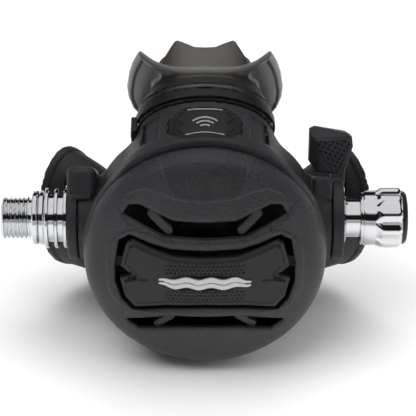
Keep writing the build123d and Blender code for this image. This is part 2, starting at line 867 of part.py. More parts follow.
with BuildPart() as exhaust_tee:
    add(tee_solid(0))
    with BuildSketch(exhaust_plane(1.0)):
        Circle(exhaust_boss_radius + 2.2)
    extrude(amount=exhaust_face - 2.0)
    add(tee_solid(-2.0), mode=Mode.SUBTRACT)
    end_x, end_depth, end_height, end_turn, end_a, end_b = tee_sections[-1]
    for side in (-1, 1):
        with BuildSketch(tee_plane(side * (end_x - 0.4), end_depth, end_height, side * end_turn)):
            Ellipse(end_a - 2.0, end_b - 2.0)
        extrude(amount=side * 4.0, mode=Mode.SUBTRACT)
    with BuildSketch(exhaust_plane(-8.0)):
        Circle(exhaust_boss_radius)
    extrude(amount=exhaust_face + 8.5, mode=Mode.SUBTRACT)
    add(case_body(0.25), mode=Mode.SUBTRACT)
    for side in (-1, 1):
        reach = side * (ring_end + 1.6)
        add(cylinder_x(ring_radius_side + 0.6, min(0, reach), max(0, reach)), mode=Mode.SUBTRACT)
    # level foot
    with Locations((0, 0, 0)):
        Box(200, 200, 30, align=(Align.CENTER, Align.CENTER, Align.MAX), mode=Mode.SUBTRACT)
save(exhaust_tee.part, "exhaust_tee")


# ---------------------------------------------------------------- mouthpiece
flange_side = Plane(
    origin=neck_plane(flange_station, up=-30).origin,
    x_dir=(1, 0, 0),
    z_dir=(0, -sin(radians(neck_tilt)), cos(radians(neck_tilt))),
)  # local x to the right, local y towards the mouth


def bend(x, start=0.0):
    return start + flange_bend * (abs(x) / flange_half_width) ** 2.5


def bent_line(start, half):
    steps = [-half, -0.6 * half, 0, 0.6 * half, half]
    return [(x, bend(x, start)) for x in steps]


with BuildPart() as mouthpiece:
    # lip flange
    with BuildSketch(flange_side):
        with BuildLine():
            back_line = Spline(bent_line(0.9, 30.0))
            front_line = Spline(bent_line(-0.9, 30.0))
            Line(back_line @ 0, front_line @ 0)
            Line(back_line @ 1, front_line @ 1)
        make_face()
    extrude(amount=60)
    with BuildSketch(neck_plane(flange_station - 10)):
        with BuildLine():
            Spline(mirrored_outline(flange_outline), periodic=True)
        make_face()
    extrude(amount=40, mode=Mode.INTERSECT)
    # boot over the spigot
    add(oval_tube([(collar_station + 0.1, *boot_half), (spigot_station, *boot_half)]))
    add(oval_tube([(spigot_station, *boot_half), (flange_station, 19.6, 11.2)]))
    # bite tabs with their end ridges
    for side in (-1, 1):
        with BuildSketch(flange_side.offset(28.0)):
            Polygon([(side * x, length) for x, length in tab_outline], align=None)
            fillet(vertices(), 0.6)
        extrude(amount=4.0)
        with BuildSketch(flange_side.offset(26.2)):
            Polygon([(side * x, length) for x, length in ridge_outline], align=None)
            fillet(vertices(), 0.6)
        extrude(amount=7.6)
    # palate bridge
    with BuildSketch(neck_plane(flange_station)):
        with BuildLine():
            outer = ThreePointArc((-tab_x, 2.0), (0, 9.0), (tab_x, 2.0))
            inner_arc = ThreePointArc((-tab_x, 0.2), (0, 7.2), (tab_x, 0.2))
            Line(outer @ 0, inner_arc @ 0)
            Line(outer @ 1, inner_arc @ 1)
        make_face()
    extrude(amount=16.4)
    # passage, wider where it grips the spigot
    grip = oval_tube([(collar_station - 1, *spigot_half), (spigot_station + 0.1, *spigot_half)])
    add(grip, mode=Mode.SUBTRACT)
    throat = oval_tube([(spigot_station - 0.5, *passage_half), (flange_station + 3.0, 15.6, 7.6)])
    add(throat, mode=Mode.SUBTRACT)
save(mouthpiece.part, "mouthpiece")

with BuildPart() as mouthpiece_clamp:
    with BuildSketch(neck_plane(clamp_station)):
        Ellipse(boot_half[0] + 0.8, boot_half[1] + 0.8)
    extrude(amount=3.6)
    with BuildSketch(neck_plane(clamp_station - 3.0, across=-22.8)):
        RectangleRounded(2.6, 6.0, 0.8)
    extrude(amount=6.6)
    boot = oval_tube([(collar_station - 4, *boot_half), (clamp_station + 5, *boot_half)], 0.1)
    add(boot, mode=Mode.SUBTRACT)
save(mouthpiece_clamp.part, "mouthpiece_clamp")
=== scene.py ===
import math

import bmesh
import bpy
import numpy as np
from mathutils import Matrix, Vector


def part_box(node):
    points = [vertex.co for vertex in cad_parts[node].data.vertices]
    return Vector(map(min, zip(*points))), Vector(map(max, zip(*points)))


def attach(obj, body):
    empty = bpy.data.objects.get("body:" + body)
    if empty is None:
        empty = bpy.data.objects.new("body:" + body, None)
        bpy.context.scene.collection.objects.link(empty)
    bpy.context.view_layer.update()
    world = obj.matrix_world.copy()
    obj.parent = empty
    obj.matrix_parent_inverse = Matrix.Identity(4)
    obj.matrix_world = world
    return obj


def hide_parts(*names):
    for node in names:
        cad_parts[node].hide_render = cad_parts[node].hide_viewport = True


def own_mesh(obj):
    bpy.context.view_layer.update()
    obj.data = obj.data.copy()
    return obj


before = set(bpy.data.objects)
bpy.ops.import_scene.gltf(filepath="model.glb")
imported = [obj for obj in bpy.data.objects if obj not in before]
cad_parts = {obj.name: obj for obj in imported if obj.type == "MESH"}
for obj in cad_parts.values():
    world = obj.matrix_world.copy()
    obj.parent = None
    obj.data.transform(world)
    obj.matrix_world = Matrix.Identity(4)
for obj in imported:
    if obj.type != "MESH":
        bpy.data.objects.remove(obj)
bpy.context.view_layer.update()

import openvdb
from mathutils import Vector

# Looks of a dive regulator's second stage. Shapes are written in millimetres in the case's own
# coordinates: x to the right, d the depth behind the plane between cover and case, h the height
# over the case's axis. Each moulded piece is a distance field, negative inside, that is meshed and
# then put in the row's frame.

MM = 0.001
SKIRT = 2.2  # the front cover's skirt reaches this far behind the rim plane

cover_low, cover_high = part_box("front_cover")
RIM_Y = cover_high[1] / MM - SKIRT
AXIS_Z = 0.5 * (cover_low[2] + cover_high[2]) / MM
VALVE_D = 24.0  # depth of the axis that the inlet, the valve tube and the knob share
HALF_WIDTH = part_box("knob_cap")[1][0] / MM

DOME_R, DOME_TOP = 95.0, 14.5  # the cover's face is part of a ball; its top is this far before the rim
COVER_R, RING_R = 39.0, 39.4
BUTTON_H = -1.4  # height of the middle of the purge button's emblem
NECK_TILT = math.radians(15.0)
NECK_D, NECK_H = 6.6, 27.5  # where the neck's axis starts
COLLAR_S, SPIGOT_S, FLANGE_S = 18.4, 27.0, 35.0  # stations along the neck
LUG_LEAN = 30  # degrees that the clip's and the case's lugs lean back round the valve axis


# ---------------------------------------------------------------- distance fields
def blend(a, b, k):
    """Union of two solids with a fillet of about k."""
    t = np.clip(0.5 + 0.5 * (b - a) / k, 0, 1)
    return b * (1 - t) + a * t - k * t * (1 - t)


def overlap(a, b, k=0.3):
    """What two solids share, its edge rounded by about k."""
    return -blend(-a, -b, k)


def carve(a, b, k=0.3):
    """The first solid without the second."""
    return -blend(-a, b, k)


def step(low, high, value):
    """Smooth step from 0 at low to 1 at high."""
    t = np.clip((value - low) / (high - low), 0, 1)
    return t * t * (3 - 2 * t)


def polygon(x, h, points):
    """Distance to a closed outline."""
    x, h = np.broadcast_arrays(x, h)
    best = np.full(x.shape, 1e9)
    inside = np.zeros(x.shape, bool)
    for (ax, ah), (bx, bh) in zip(points, points[1:] + points[:1]):
        ex, eh = bx - ax, bh - ah
        t = np.clip(((x - ax) * ex + (h - ah) * eh) / (ex * ex + eh * eh), 0, 1)
        best = np.minimum(best, (x - ax - t * ex) ** 2 + (h - ah - t * eh) ** 2)
        crosses = (ah > h) != (bh > h)
        slope = ex / eh if eh else 0.0
        inside ^= crosses & (x < ax + (h - ah) * slope)
    return np.where(inside, -1, 1) * np.sqrt(best)


def box(x, d, h, centre, half, corner):
    """Block with rounded edges."""
    qx = np.abs(x - centre[0]) - half[0] + corner
    qd = np.abs(d - centre[1]) - half[1] + corner
    qh = np.abs(h - centre[2]) - half[2] + corner
    far = np.sqrt(np.maximum(qx, 0) ** 2 + np.maximum(qd, 0) ** 2 + np.maximum(qh, 0) ** 2)
    return far + np.minimum(np.maximum(qx, np.maximum(qd, qh)), 0) - corner


def disc(r, along, radius, low, high, corner):
    """Cylinder with rounded edges, from its distance to the axis and its place along it."""
    qr = r - radius + corner
    ql = np.abs(along - 0.5 * (low + high)) - 0.5 * (high - low) + corner
    return np.hypot(np.maximum(qr, 0), np.maximum(ql, 0)) + np.minimum(np.maximum(qr, ql), 0) - corner


def oval(x, u, a, b):
    """Distance to an ellipse, good near its edge."""
    q = np.hypot(x / a, u / b)
    slope = np.hypot(x / (a * a), u / (b * b))
    return (q - 1) * q / np.maximum(slope, 1e-6)


def mirrored(half):
    """Closed outline from its right half, top to bottom."""
    return half + [(-x, h) for x, h in reversed(half) if x > 0]


def along_neck(d, h):
    """Station along the neck's axis, and height over it."""
    c, s = math.cos(NECK_TILT), math.sin(NECK_TILT)
    return (d - NECK_D) * c + (h - NECK_H) * s, (h - NECK_H) * c - (d - NECK_D) * s


def about_valve(d, h, lean=0.0):
    """Coordinates round the valve axis: towards the viewer, and up, turned back by lean degrees."""
    c, s = math.cos(math.radians(lean)), math.sin(math.radians(lean))
    back = d - VALVE_D
    return -(back * c - h * s), h * c + back * s


def place(points):
    """From case coordinates in millimetres to the frame in metres."""
    out = np.array(points, dtype=float)
    out[:, 1] += RIM_Y
    out[:, 2] += AXIS_Z
    return out * MM


def make_object(name, mesh):
    obj = bpy.data.objects.new(name, mesh)
    bpy.context.scene.collection.objects.link(obj)
    return obj


def mould(name, field, low, high, cell, sharp=40):
    """Mesh of a distance field inside a box, its points moved onto the surface."""
    axes = [np.arange(a, b + cell, cell) for a, b in zip(low, high)]
    grid_x, grid_d, grid_h = axes[0][:, None, None], axes[1][None, :, None], axes[2][None, None, :]
    values = np.broadcast_to(field(grid_x, grid_d, grid_h), [len(a) for a in axes])
    grid = openvdb.FloatGrid(3 * cell)
    grid.copyFromArray(np.ascontiguousarray(values, dtype=np.float32))
    points, quads = grid.convertToQuads(0.0)
    points = np.array(points, dtype=float) * cell + np.array(low)
    reach = 0.6 * cell
    nudge = 0.05
    for _ in range(2):
        p = points.T
        value = field(*p)
        grad = np.array([field(*(p + nudge * np.eye(3)[:, k : k + 1])) - value for k in range(3)]) / nudge
        move = np.clip(value / np.maximum((grad**2).sum(0), 0.05), -reach, reach)
        points = points - (grad * move).T
    mesh = bpy.data.meshes.new(name)
    mesh.from_pydata(place(points), [], np.array(quads)[:, ::-1].tolist())
    mesh.validate()
    mesh.shade_smooth()
    mesh.set_sharp_from_angle(angle=math.radians(sharp))
    return make_object(name, mesh)


def clean(mesh, merge=0.0):
    """Merge points closer than merge, face every face outwards and shade smooth."""
    work = bmesh.new()
    work.from_mesh(mesh)
    if merge:
        bmesh.ops.remove_doubles(work, verts=work.verts, dist=merge)
    bmesh.ops.recalc_face_normals(work, faces=work.faces)
    work.to_mesh(mesh)
    work.free()
    mesh.shade_smooth()


def lathe(name, profile, radius=None, segments=112, sharp=28):
    """Turned piece round the valve axis from (x, r) points; radius(x, r, angle) may vary each ring."""
    angles = np.arange(segments) * 2 * math.pi / segments
    rings = []
    for x, r in profile:
        rr = np.full(segments, r) if radius is None or r == 0 else radius(x, r, angles)
        rings.append(np.stack([np.full(segments, x), VALVE_D - rr * np.cos(angles), rr * np.sin(angles)], 1))
    points = place(np.concatenate(rings))
    faces = []
    count = len(profile)
    for ring in range(count if profile[0] != profile[-1] else count - 1):
        base, after = ring * segments, ((ring + 1) % count) * segments
        for k in range(segments):
            n = (k + 1) % segments
            faces.append((base + k, after + k, after + n, base + n))
    mesh = bpy.data.meshes.new(name)
    mesh.from_pydata(points, [], faces)
    clean(mesh, merge=1e-7)
    mesh.set_sharp_from_angle(angle=math.radians(sharp))
    return make_object(name, mesh)


# ---------------------------------------------------------------- materials
def shader(name, color, rough, metal=0.0, **sockets):
    mat = bpy.data.materials.new(name)
    mat.use_nodes = True
    bsdf = mat.node_tree.nodes["Principled BSDF"]
    bsdf.inputs["Base Color"].default_value = (*color, 1)
    bsdf.inputs["Roughness"].default_value = rough
    bsdf.inputs["Metallic"].default_value = metal
    for key, value in sockets.items():
        bsdf.inputs[key.replace("_", " ")].default_value = value
    return mat, bsdf


def noise(tree, scale, detail):
    """Solid texture in the object's own metres."""
    coords = tree.nodes.new("ShaderNodeTexCoord")
    node = tree.nodes.new("ShaderNodeTexNoise")
    node.inputs["Scale"].default_value = scale
    node.inputs["Detail"].default_value = detail
    tree.links.new(coords.outputs["Object"], node.inputs["Vector"])
    return node


def mix_color(tree, factor, low, high):
    ramp = tree.nodes.new("ShaderNodeValToRGB")
    ramp.color_ramp.elements[0].color = (*low, 1)
    ramp.color_ramp.elements[1].color = (*high, 1)
    tree.links.new(factor, ramp.inputs["Fac"])
    return ramp


def remap(tree, factor, low, high, start=0.0):
    node = tree.nodes.new("ShaderNodeMapRange")
    node.inputs["From Min"].default_value = start
    node.inputs["To Min"].default_value = low
    node.inputs["To Max"].default_value = high
    tree.links.new(factor, node.inputs["Value"])
    return node.outputs["Result"]


def bump(tree, height, strength, distance, bsdf):
    node = tree.nodes.new("ShaderNodeBump")
    node.inputs["Strength"].default_value = strength
    node.inputs["Distance"].default_value = distance
    tree.links.new(height, node.inputs["Height"])
    tree.links.new(node.outputs["Normal"], bsdf.inputs["Normal"])


def plastic(name, color, rough, grain, depth, mottle_and_highlight=0.35, gloss=0.3):
    """Moulded plastic: spark-eroded grain, slight random mottling, and a painted highlight that makes the
    grain's high spots paler.
    """
    mat, bsdf = shader(name, color, rough, Specular_IOR_Level=gloss)
    tree = mat.node_tree
    fine = noise(tree, grain, 3.0)
    broad = noise(tree, grain / 45, 4.0)
    fine_share = 0.55
    share = tree.nodes.new("ShaderNodeMath")
    share.operation = "MULTIPLY"
    share.inputs[1].default_value = fine_share
    tree.links.new(fine.outputs["Fac"], share.inputs[0])
    mixed = tree.nodes.new("ShaderNodeMath")
    mixed.operation = "MULTIPLY_ADD"
    mixed.inputs[1].default_value = 1 - fine_share
    tree.links.new(broad.outputs["Fac"], mixed.inputs[0])
    tree.links.new(share.outputs[0], mixed.inputs[2])
    # Random mottling plus painted highlight: the tone turns paler where the fine grain's bump stands high
    # and darker where it is low.
    pale = tuple(c * (1 + 2 * mottle_and_highlight) for c in color)
    dark = tuple(c * (1 - mottle_and_highlight) for c in color)
    ramp = mix_color(tree, mixed.outputs[0], dark, pale)
    ramp.color_ramp.elements[0].position = 0.3
    ramp.color_ramp.elements[1].position = 0.7
    tree.links.new(ramp.outputs["Color"], bsdf.inputs["Base Color"])
    tree.links.new(remap(tree, fine.outputs["Fac"], rough - 0.08, rough + 0.1), bsdf.inputs["Roughness"])
    bump(tree, fine.outputs["Fac"], 1.0, depth, bsdf)
    return mat


def metal(name, color, rough, scale=900, depth=2e-6):
    """Plated or turned metal with faint streaks and worn specks."""
    mat, bsdf = shader(name, color, rough, 1.0)
    tree = mat.node_tree
    speck = noise(tree, scale, 4.0)
    ramp = mix_color(tree, speck.outputs["Fac"], tuple(c * 0.93 for c in color), color)
    tree.links.new(ramp.outputs["Color"], bsdf.inputs["Base Color"])
    tree.links.new(remap(tree, speck.outputs["Fac"], rough * 0.7, rough * 1.5), bsdf.inputs["Roughness"])
    bump(tree, speck.outputs["Fac"], 0.5, depth, bsdf)
    return mat


def silicone():
    """Smoked silicone: dark where it is thick, paler and browner towards its thin edges."""
    base = (0.012, 0.012, 0.012)
    mat, bsdf = shader("smoke_silicone_look", base, 0.3, Transmission_Weight=0.08, IOR=1.35)
    tree = mat.node_tree
    edge = tree.nodes.new("ShaderNodeAttribute")
    edge.attribute_name = "thin"
    ramp = mix_color(tree, edge.outputs["Fac"], (0.007, 0.007, 0.0075), (0.075, 0.071, 0.067))
    middle = ramp.color_ramp.elements.new(0.5)
    middle.color = (0.03, 0.024, 0.019, 1)
    tree.links.new(ramp.outputs["Color"], bsdf.inputs["Base Color"])
    mottle = noise(tree, 260, 3.0)
    tree.links.new(remap(tree, mottle.outputs["Fac"], 0.24, 0.42), bsdf.inputs["Roughness"])
    bump(tree, mottle.outputs["Fac"], 0.4, 2e-5, bsdf)
    return mat


MATS = {
    "case": plastic("case_look", (0.0115, 0.0115, 0.0135), 0.5, 1350, 2.2e-4, 0.5, 0.42),
    "cover": plastic("cover_look", (0.0135, 0.0135, 0.016), 0.46, 1300, 2.6e-4, 0.6, 0.45),
    "stipple": plastic("stipple_look", (0.0115, 0.0115, 0.0135), 0.5, 1150, 3.6e-4, 0.6, 0.4),
    "button": plastic("button_look", (0.0125, 0.0125, 0.0145), 0.42, 4200, 3e-5, 0.25),
    "lever": plastic("lever_look", (0.012, 0.0125, 0.015), 0.45, 3400, 5e-5),
    "trim": plastic("trim_look", (0.005, 0.005, 0.0055), 0.36, 3600, 2e-5),
    "chrome": metal("chrome_look", (0.72, 0.73, 0.75), 0.07),
    "emblem": metal("emblem_look", (0.5, 0.505, 0.515), 0.36, 1500, 2e-5),
    "brass": metal("brass_look", (0.6, 0.42, 0.18), 0.28),
    "steel": metal("steel_look", (0.16, 0.165, 0.175), 0.35),
    "rubber": plastic("rubber_look", (0.004, 0.004, 0.0042), 0.62, 3000, 2e-5),
    "nylon": plastic("nylon_look", (0.012, 0.012, 0.013), 0.45, 3000, 1e-5),
    "silicone": silicone(),
    "clear": plastic("clear_look", (0.3, 0.29, 0.27), 0.35, 2000, 1e-5),
}


def finish_piece(obj, look, body, slot, *replaced):
    obj.data.materials.append(MATS[look])
    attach(obj, body)
    if replaced:
        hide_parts(*replaced)


# ---------------------------------------------------------------- front cover
PURGE = mirrored(
    [
        (0, 6.7),
        (10.2, 7.1),
        (17.0, 9.4),
        (22.6, 11.7),
        (24.6, 10.4),
        (26.7, 2.4),
        (22.8, -0.6),
        (26.9, -2.4),
        (25.4, -9.2),
        (22.4, -12.7),
        (12.5, -10.8),
        (0, -10.2),
    ]
)
PURGE_HOLE = mirrored(
    [
        (0, 9.4),
        (11.2, 9.7),
        (17.4, 11.2),
        (23.6, 13.4),
        (27.0, 11.2),
        (28.4, 3.0),
        (28.4, -4.0),
        (26.6, -10.2),
        (23.2, -14.2),
        (12.5, -12.1),
        (0, -11.5),
    ]
)
SMILE = mirrored(
    [(0, 18.2), (9.8, 18.5), (20.8, 23.0), (23.8, 22.4), (25.4, 19.8), (12.6, 13.9), (0, 13.4)]
)
LOWER_VENT = mirrored(
    [(0, -16.2), (11.0, -16.0), (24.8, -19.2), (21.2, -22.2), (9.6, -20.2), (0, -20.0)]
)
TOP_PANEL = mirrored([(0, 39.2), (7.5, 38.6), (14.4, 36.6), (10.6, 28.6), (8.6, 26.9), (0, 25.8)])
BROW = mirrored(
    [(0, 25.4), (9.6, 26.2), (14.3, 27.9), (19.6, 28.6)]
    + [(24.4, 26.2), (27.6, 22.0), (24, 17), (0, 17)]
)


def dome(x, d, h):
    """Distance to the ball that the cover's face is part of."""
    return np.sqrt(x * x + h * h + (d + DOME_TOP - DOME_R) ** 2) - DOME_R


def dots(x, h, pitch, radius):
    """Staggered rows of dimples, 1 in the middle of each."""
    row = np.floor(h / pitch)
    dx = (x / pitch + 0.5 * (row % 2)) % 1 - 0.5
    dh = (h / pitch) % 1 - 0.5
    return 1 - step(0.3, 1.0, np.hypot(dx, dh) * pitch / radius)


def strut(x, h, side, top, bottom, half):
    """Slanted bar across a vent, from its lower end to its upper end."""
    (x0, h0), (x1, h1) = bottom, top
    sx = side * x
    length2 = (x1 - x0) ** 2 + (h1 - h0) ** 2
    t = np.clip(((sx - x0) * (x1 - x0) + (h - h0) * (h1 - h0)) / length2, 0, 1)
    return np.hypot(sx - x0 - t * (x1 - x0), h - h0 - t * (h1 - h0)) - half


def cover_field(x, d, h):
    r = np.hypot(x, h)
    ball = dome(x, d, h)
    corner = 11.0
    qx, qh = np.abs(x) - 31.4 + corner, np.abs(h - 0.3) - 15.4 + corner
    far = np.hypot(np.maximum(qx, 0), np.maximum(qh, 0))
    frame_edge = far + np.minimum(np.maximum(qx, qh), 0) - corner
    smile, lower = polygon(x, h, SMILE) - 0.3, polygon(x, h, LOWER_VENT) - 0.3
    hole = polygon(x, h, PURGE_HOLE) - 0.2
    relief = 0.5 * (1 - step(-0.5, 0.3, frame_edge))
    relief = relief - 0.4 * (1 - step(-0.2, 0.3, polygon(x, h, BROW)))
    relief = relief - 0.35 * (1 - step(-0.25, 0.25, polygon(x, h, TOP_PANEL)))
    relief = relief - 0.5 * (1 - step(0.0, 1.3, np.minimum(smile, lower)))
    relief = relief - 0.5 * (1 - step(0.0, 1.6, hole))
    outer = overlap(ball - relief, r - COVER_R, 5.5)
    outer = overlap(outer, d - 0.8, 0.6)
    inner = overlap(ball + 2.4, r - 36.4, 3.0)
    shell = carve(outer, inner, 0.3)
    for opening in (smile, lower, hole):
        shell = carve(shell, opening, 0.5)
    behind = np.maximum(ball + 1.7, -(ball + 4.6))
    for side in (-1, 1):
        bar = strut(x, h, side, (16.6, 20.4), (11.6, 15.4), 1.5)
        low_bar = strut(x, h, side, (10.8, -16.6), (15.4, -20.6), 1.3)
        shell = blend(shell, overlap(np.minimum(bar, low_bar), behind, 0.4), 0.3)
    skirt = np.maximum(np.abs(r - 36.3) - 1.3, np.abs(d - 0.4) - 1.7)
    cross_bar = np.maximum(np.abs(h) - 2.0, np.abs(x) - 34.5)
    guide = np.maximum(np.abs(d + 2.1) - 1.9, np.minimum(r - 8.0, cross_bar))
    guide = np.maximum(guide, 3.8 - r)
    return np.minimum(shell, np.minimum(skirt, guide))


def make_cover():
    cover = mould("front_cover_skin", cover_field, (-40.2, -16.6, -40.2), (40.2, 3.4, 40.2), 0.4)
    finish_piece(cover, "cover", "valve_body", "cover_plastic", "front_cover")
    cover.data.materials.append(MATS["stipple"])
    mesh = cover.data
    centres = np.empty(3 * len(mesh.polygons))
    mesh.polygons.foreach_get("center", centres)
    centres = centres.reshape(-1, 3) / MM
    x, h = centres[:, 0], centres[:, 2] - AXIS_Z
    inside = (polygon(x, h, TOP_PANEL) < -0.2) & (dome(x, centres[:, 1] - RIM_Y, h) > -1.2)
    mesh.polygons.foreach_set("material_index", inside.astype(np.int32))


def purge_field(x, d, h):
    outline = polygon(x, h, PURGE) - 0.25
    ball = dome(x, d, h) - 0.9
    relief = -0.9 * step(-1.5, -1.0, outline)
    relief = relief + 0.25 * step(-2.3, -2.0, outline) * (1 - step(-1.6, -1.4, outline))
    middle = np.abs(h - BUTTON_H)
    patch = step(12.9, 12.6, np.abs(x)) * step(3.0, 3.3, middle) * step(7.3, 7.0, middle)
    relief = relief - 0.42 * patch * dots(x, h, 1.35, 0.62)
    notch = polygon(np.abs(x), h, [(23.4, 1.2), (18.4, -0.4), (17.6, -1.5), (24.6, -2.2)])
    relief = relief - 0.45 * (1 - step(-0.4, 0.2, notch))
    plate = overlap(ball - relief, outline, 0.5)
    plate = carve(plate, ball + 2.6, 0.4)
    tray = box(x, d, h, (0, -DOME_TOP - 0.9, BUTTON_H), (16.2, 0.75, 2.8), 0.6)
    plate = carve(plate, tray, 0.2)
    stem = disc(np.hypot(x, h), d, 3.6, -DOME_TOP + 1, 1.8, 0.3)
    return np.minimum(plate, stem)


def emblem_field(x, d, h):
    """A plain ribbon of waves, thinner towards its ends."""
    taper = 1 - 0.45 * step(8.0, 15.6, np.abs(x))
    from_wave = np.abs(h - BUTTON_H - 0.45 * np.sin(2 * math.pi * x / 7.8))
    ball = dome(x, d, h)
    body = overlap(overlap(from_wave - 2.0 * taper, np.abs(x) - 15.7, 0.8), ball - 1.3, 0.3)
    body = carve(body, np.maximum(from_wave - 0.22, 1.05 - ball), 0.1)
    return np.maximum(body, d + DOME_TOP + 0.1)


def make_purge():
    button = mould("purge_button_skin", purge_field, (-28.5, -16.5, -14.5), (28.5, 2.6, 13.5), 0.32)
    finish_piece(button, "button", "purge", "button_plastic", "purge_button")
    emblem = mould("purge_emblem_skin", emblem_field, (-16.4, -17, -4.8), (16.4, -13.6, 2.2), 0.18)
    finish_piece(emblem, "emblem", "purge", "emblem_silver", "purge_emblem")


# ---------------------------------------------------------------- case and neck
LABEL_S, LABEL_A, LABEL_B, LABEL_CUT = 7.7, 11.5, 7.3, 4.0


def label_outline(x, station, grow):
    """Distance to the label's eight-sided outline, grown on every side."""
    qx, qs = np.abs(x) - LABEL_A - grow, np.abs(station - LABEL_S) - LABEL_B - grow
    corner = (qx + qs + LABEL_CUT + grow * 0.6) / math.sqrt(2)
    return np.maximum(np.maximum(qx, qs), corner)


def neck_section(station):
    """Half width and half height of the neck at a station."""
    knots = [-4.0, 2.0, 8.0, COLLAR_S]
    half_width = np.interp(station, knots, [24.2, 22.8, 21.6, 20.9])
    return half_width, np.interp(station, knots, [13.6, 13.5, 13.4, 13.0])


def bowl_field(x, d, h):
    r = np.hypot(x, h)
    bowl = disc(r, d, 37.0, -4.0, 38.0, 15.0)
    band = disc(r, d, RING_R, 0.95, 6.4, 1.1)
    return blend(bowl, band, 3.0)


def case_outside(x, d, h):
    station, up = along_neck(d, h)
    a, b = neck_section(station)
    bowl = bowl_field(x, d, h)
    room = np.maximum(COLLAR_S - 1.6 - station, 15.4 - h)
    bowl = carve(bowl, room, 1.2)
    neck = np.maximum(oval(x, up, a, b), station - COLLAR_S)
    neck = np.maximum(neck, -3.0 - station)
    body = blend(bowl, neck, 6.5)
    around = np.hypot(d - VALVE_D, h)
    boss = disc(around, np.abs(x), 13.6, -10, 41.6, 0.5)
    body = blend(body, boss, 4.5)
    fore, upward = about_valve(d, h, LUG_LEAN)
    lug = box(x, fore, upward, (38.5, 6.0, 9.5), (3.1, 8.0, 3.9), 1.4)
    body = blend(body, lug, 0.8)
    slant = (np.abs(x) - 13.6 + 0.5 * (-h - 37.0)) * 0.9
    foot = np.maximum(np.maximum(slant, np.abs(d - 3.4) - 2.4), np.hypot(x, h) - 41.9)
    foot = np.maximum(foot, h + 34)
    return blend(body, foot, 0.6)


def case_field(x, d, h):
    station, up = along_neck(d, h)
    a, b = neck_section(station)
    body = case_outside(x, d, h)
    body = np.maximum(body, 1.0 - d)
    skin = oval(x, up, a, b)
    label = np.maximum(label_outline(x, station, 0.3), -(skin + 0.9))
    body = carve(body, np.maximum(label, -up), 0.15)
    recess = polygon(np.abs(x), station, [(14.6, 15.6), (19.6, 15.6), (20.2, 4.0), (14.6, 2.0)]) - 0.2
    body = carve(body, np.maximum(np.maximum(recess, -(skin + 0.8)), -up), 0.3)
    spigot = np.maximum(oval(x, up, 19.6, 11.2), np.maximum(station - SPIGOT_S, 15 - station))
    body = np.minimum(body, spigot)
    room = np.maximum(COLLAR_S - 4.0 - station, 13.0 - h)
    cavity = carve(disc(np.hypot(x, h), d, 34.4, -20, 35.6, 13.0), room, 1.0)
    seat = disc(np.hypot(x, h), d, 37.8, -3.0, 4.0, 0.1)
    passage = np.maximum(oval(x, up, 17.2, 8.8), 3.0 - station)
    bore = np.hypot(d - VALVE_D, h) - np.where(x < 0, 7.65, 9.15)
    port_d, port_h, port_lean = 30.0, -20.0, math.radians(35)
    c, s = math.cos(port_lean), math.sin(port_lean)
    out = (d - port_d) * c - (h - port_h) * s
    side = (d - port_d) * s + (h - port_h) * c
    port = np.maximum(np.hypot(x, side) - 8.4, np.abs(out - 2) - 10)
    spokes = np.maximum(np.minimum(np.abs(x), np.abs(side)) - 0.8, np.abs(out - 2) - 12)
    boss = disc(np.hypot(x, side), out, 11.4, -6, 9.5, 0.3)
    body = np.minimum(body, boss)
    hollow = np.minimum(np.minimum(cavity, seat), np.minimum(passage, bore))
    hollow = np.minimum(hollow, np.maximum(port, -spokes))
    return carve(body, hollow, 0.3)


def make_case():
    case = mould("case_skin", case_field, (-43, 0, -43), (43, 46, 51), 0.6)
    finish_piece(case, "case", "valve_body", "case_plastic", "case_shell", "case_neck")


def label_field(x, d, h):
    station, up = along_neck(d, h)
    a, b = neck_section(station)
    skin = oval(x, up, a, b)
    edge = label_outline(x, station, 0)
    s = station - LABEL_S
    zigzag = 2.4 * np.abs(((s + 7.2) / 4.8) % 1 - 0.5) * 2
    line = np.abs(np.abs(x) - 7.0 - zigzag * 0.75) - 0.32
    relief = 0.35 * (1 - step(-0.2, 0.2, np.maximum(line, edge + 0.8)))
    relief = relief + 0.3 * step(-0.9, -0.6, edge)
    plate = np.maximum(np.maximum(skin - 0.05 - relief, -(skin + 0.85)), edge)
    return np.maximum(plate, -up)


def label_marks(x, d, h):
    """Plain silver bars and a small fan of arcs."""
    station, up = along_neck(d, h)
    a, b = neck_section(station)
    skin = oval(x, up, a, b)
    s = station - LABEL_S
    top = np.maximum(np.abs(s - 6.5) - 0.3, np.abs(x) - 5.7)
    low = np.maximum(np.abs(s + 5.6 - 0.8 * np.cos(x / 4.2)) - 0.3, np.abs(x) - 6.2)
    r = np.hypot(x, s + 3.2)
    fan = np.full(np.broadcast(x, d, h).shape, 1e3)
    for radius in (2.0, 3.8, 5.6):
        fan = np.minimum(fan, np.abs(r - radius) - 0.42)
    fan = np.maximum(fan, np.abs(x) - 0.95 * (s + 3.4))
    marks = np.minimum(np.minimum(top, low), fan)
    return np.maximum(np.maximum(marks, np.abs(skin - 0.02) - 0.32), -up)


def make_label():
    low, high = (-12.4, 1.8, 36.0), (12.4, 18.6, 46.2)
    plate = mould("label_plate_skin", label_field, low, high, 0.25)
    finish_piece(plate, "trim", "valve_body", "button_plastic", "label_plate")
    marks = mould("label_marks", label_marks, low, high, 0.16)
    finish_piece(marks, "emblem", "valve_body", "emblem_silver")


# ---------------------------------------------------------------- exhaust tee
# Middle line and half sizes of the tube at distances from the centre plane; the end is cut aslant.
TEE_X = [0.0, 10.0, 20.0, 27.0, 34.0, 41.0, 47.5, 56.0]
TEE_D = [41.0, 41.3, 42.2, 42.8, 43.8, 45.6, 48.0, 51.5]
TEE_H = [-26.2, -25.4, -22.8, -18.4, -13.4, -10.4, -8.5, -6.5]
TEE_A = [13.0, 12.8, 12.4, 12.3, 12.5, 13.4, 14.4, 15.6]
TEE_B = [15.7, 16.2, 17.4, 18.8, 20.2, 21.4, 22.3, 23.4]
TEE_END_X, TEE_END_D, TEE_END_TURN = 47.5, 48.0, math.radians(37)
TEE_LEAN = 0.86  # the tube runs aslant, so a plane across it sees its wall this much too thick


